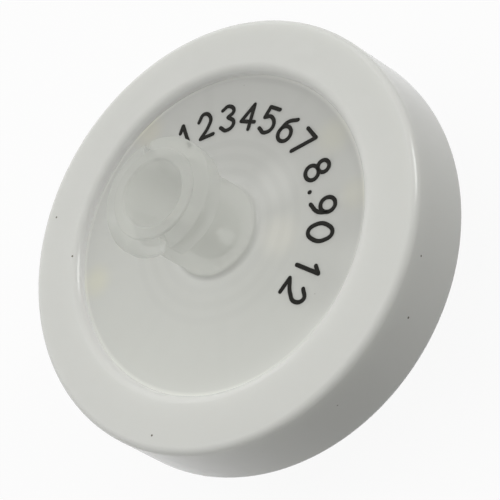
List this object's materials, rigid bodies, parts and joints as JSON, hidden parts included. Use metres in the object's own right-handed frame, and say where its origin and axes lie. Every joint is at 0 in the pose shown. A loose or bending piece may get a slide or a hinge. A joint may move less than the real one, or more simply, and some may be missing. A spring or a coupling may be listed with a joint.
{
  "type": "syringe filter",
  "caption": "Disposable syringe filter disc with a luer-lock inlet hub, an overmoulded rim, grooved housings, a layered filter medium and a tapered luer outlet.",
  "frame": {"origin": "centre of the inlet luer socket's mouth, in the plane of the hub's end face", "axes": "+Z along the flow axis out of the inlet, towards the syringe; +Y is the direction that lies away from the viewer in the main view"},
  "size_m": [0.0305, 0.0304, 0.021],
  "materials": {
    "natural_polypropylene": "natural, milky and translucent, semi-gloss",
    "white_polypropylene": "white, opaque, semi-gloss",
    "prefilter_fibre": "matt white glass-fibre felt",
    "membrane_film": "matt white porous film"
  },
  "bodies": {
    "root": {"inlet_housing": "natural_polypropylene", "outlet_housing": "natural_polypropylene", "rim_ring": "white_polypropylene", "prefilter": "prefilter_fibre", "membrane": "membrane_film"}
  },
  "joints": []
}
